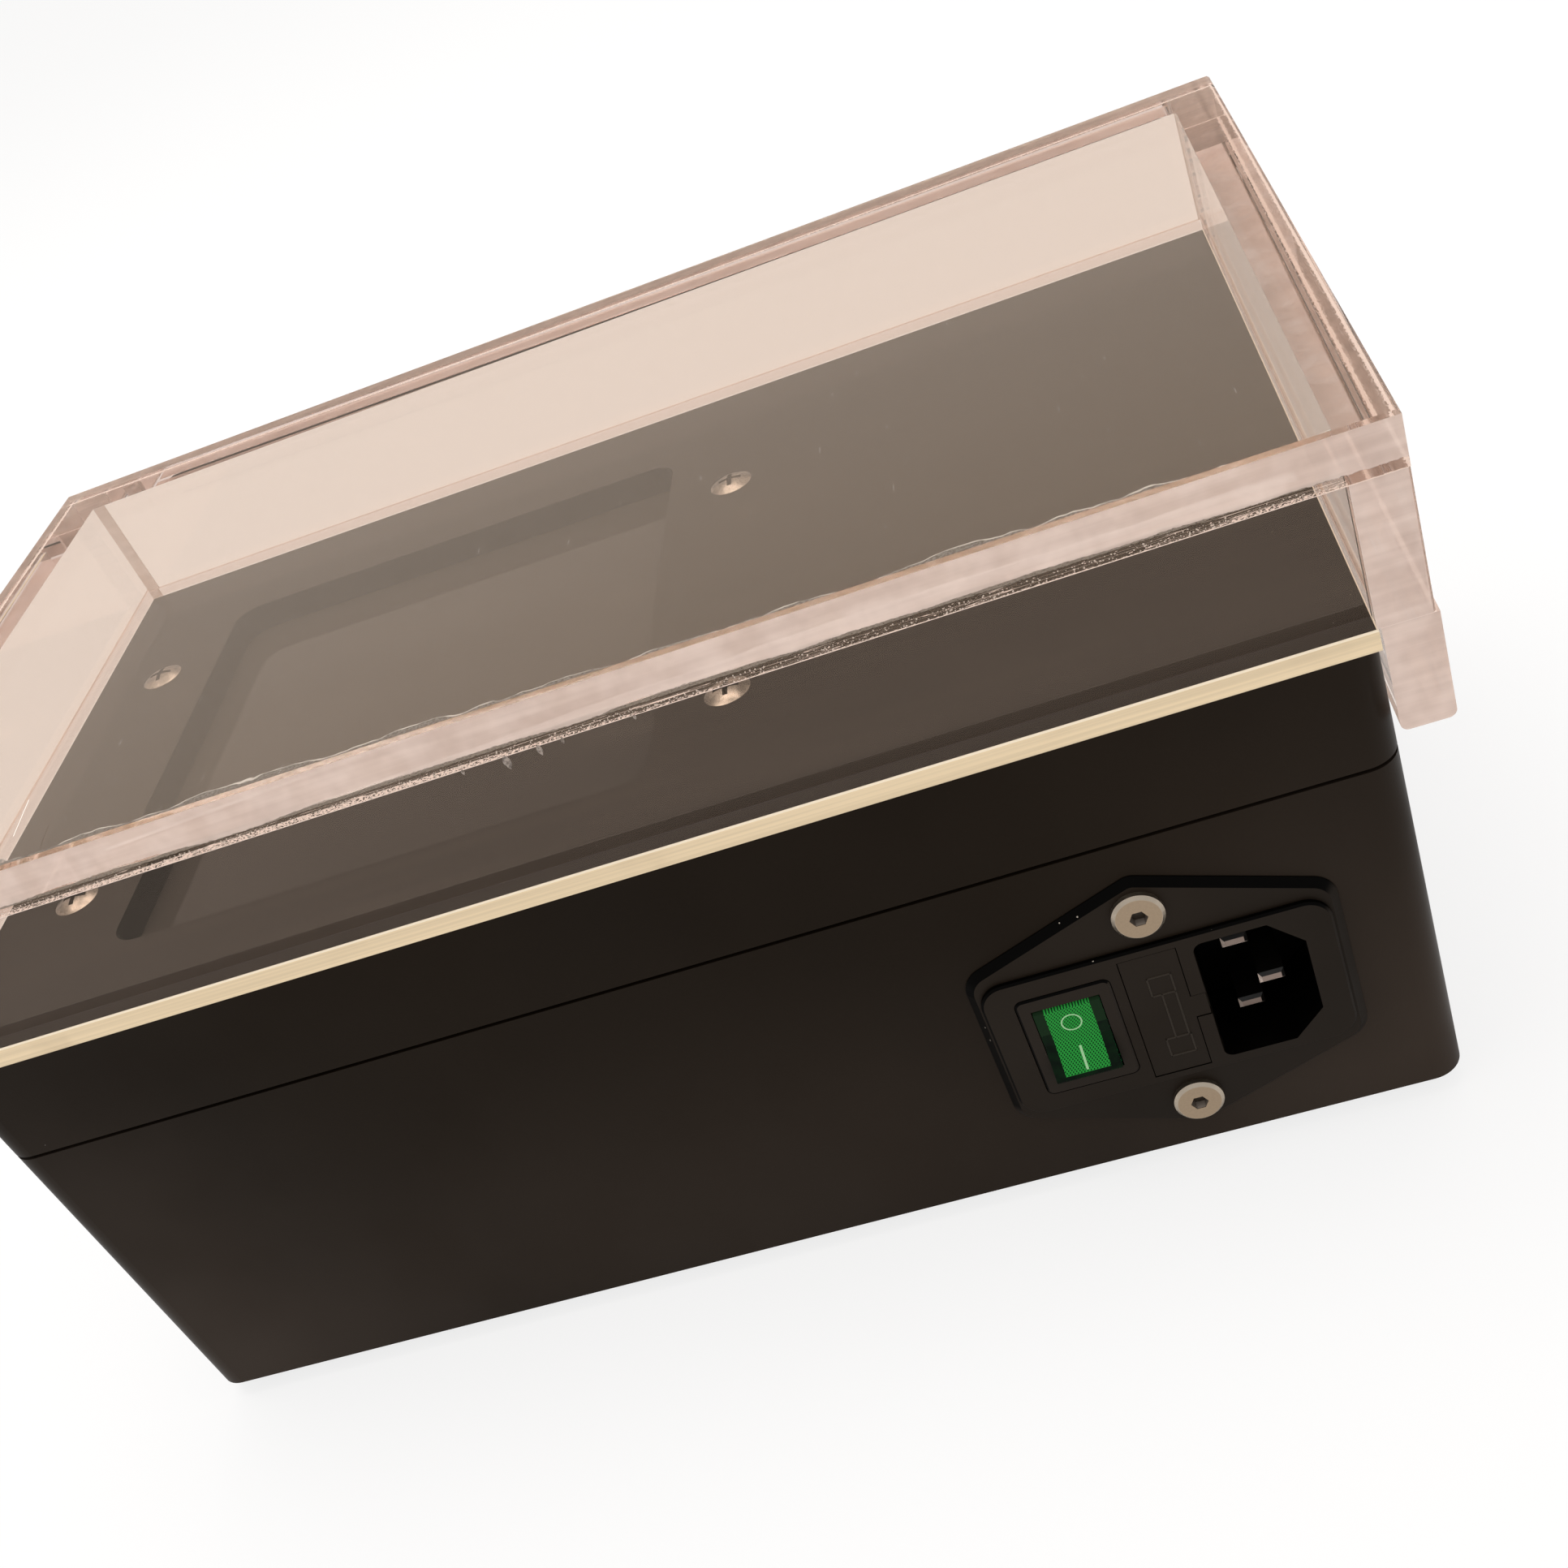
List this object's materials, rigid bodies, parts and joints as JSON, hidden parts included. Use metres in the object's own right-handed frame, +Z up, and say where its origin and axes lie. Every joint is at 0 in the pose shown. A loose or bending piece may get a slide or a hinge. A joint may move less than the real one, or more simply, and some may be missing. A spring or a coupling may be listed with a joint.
{
  "type": "uv transilluminator",
  "caption": "Bench box with a recessed filter window over ultraviolet lamps, a rear mains inlet with switch and fuse drawer, and a clear lift-off cover.",
  "frame": {"origin": "bottom centre of the whole object's box, on the plane that the feet stand on", "axes": "+X to the right seen from the front, +Y from the front to the rear face with the mains inlet, +Z up"},
  "size_m": [0.2462, 0.1557, 0.1185],
  "materials": {
    "housing": "fine-grained black moulded plastic",
    "plate": "black anodised face, brushed across the width, with a bare machined edge",
    "filter": "polished near-black ultraviolet pass glass",
    "seal": "black sponge rubber",
    "acrylic": "clear cast acrylic with polished sawn edges and cement lines",
    "steel": "bright stainless steel",
    "zinc": "bright zinc plated steel",
    "module": "black moulded thermoplastic",
    "switch_bezel": "semi-gloss black thermoplastic",
    "green": "translucent green thermoplastic with a printed light mesh",
    "contact": "nickel plated brass",
    "fuse": "glass tube with plated caps",
    "lamp": "ultraviolet glass tube",
    "cap_metal": "stamped aluminium",
    "holder": "white thermoplastic",
    "reflector": "bright rolled aluminium sheet",
    "ballast": "white thermoplastic case",
    "foot": "black rubber"
  },
  "bodies": {
    "housing": {"base_tray": "housing", "lid_frame": "housing", "top_plate": "plate", "plate_screws": "steel", "filter_gasket": "seal", "filter_glass": "filter", "filter_frame": "housing", "lamp_tubes": "lamp", "lamp_caps": "cap_metal", "lamp_holders": "holder", "reflector_tray": "reflector", "tray_screws": "zinc", "ballast_case": "ballast", "ballast_screws": "zinc", "terminal_block": "holder", "inlet_body": "module", "inlet_blades": "contact", "inlet_screws": "steel", "inlet_nuts": "zinc", "switch_housing": "switch_bezel", "switch_tabs": "contact", "case_screws": "zinc", "rubber_feet": "foot"},
    "cover": {"cover_top": "acrylic", "cover_rear_wall": "acrylic", "cover_front_wall": "acrylic", "cover_left_wall": "acrylic", "cover_right_wall": "acrylic", "cover_left_lip": "acrylic", "cover_right_lip": "acrylic", "cover_front_lip": "acrylic"},
    "rocker": {"rocker": "green"},
    "drawer": {"fuse_drawer": "module", "fuses": "fuse"}
  },
  "joints": [
    {"name": "cover_lift", "type": "slide", "parent": "housing", "child": "cover", "axis": [0, 0, 1], "range_m": [0, 0.06]},
    {"name": "rocker_pivot", "type": "hinge", "parent": "housing", "child": "rocker", "pos_m": [-0.0584, 0.07371, 0.0347], "axis": [-1, 0, 0], "range_deg": [0, 15]},
    {"name": "drawer_slide", "type": "slide", "parent": "housing", "child": "drawer", "axis": [0, 1, 0], "range_m": [0, 0.02]}
  ]
}
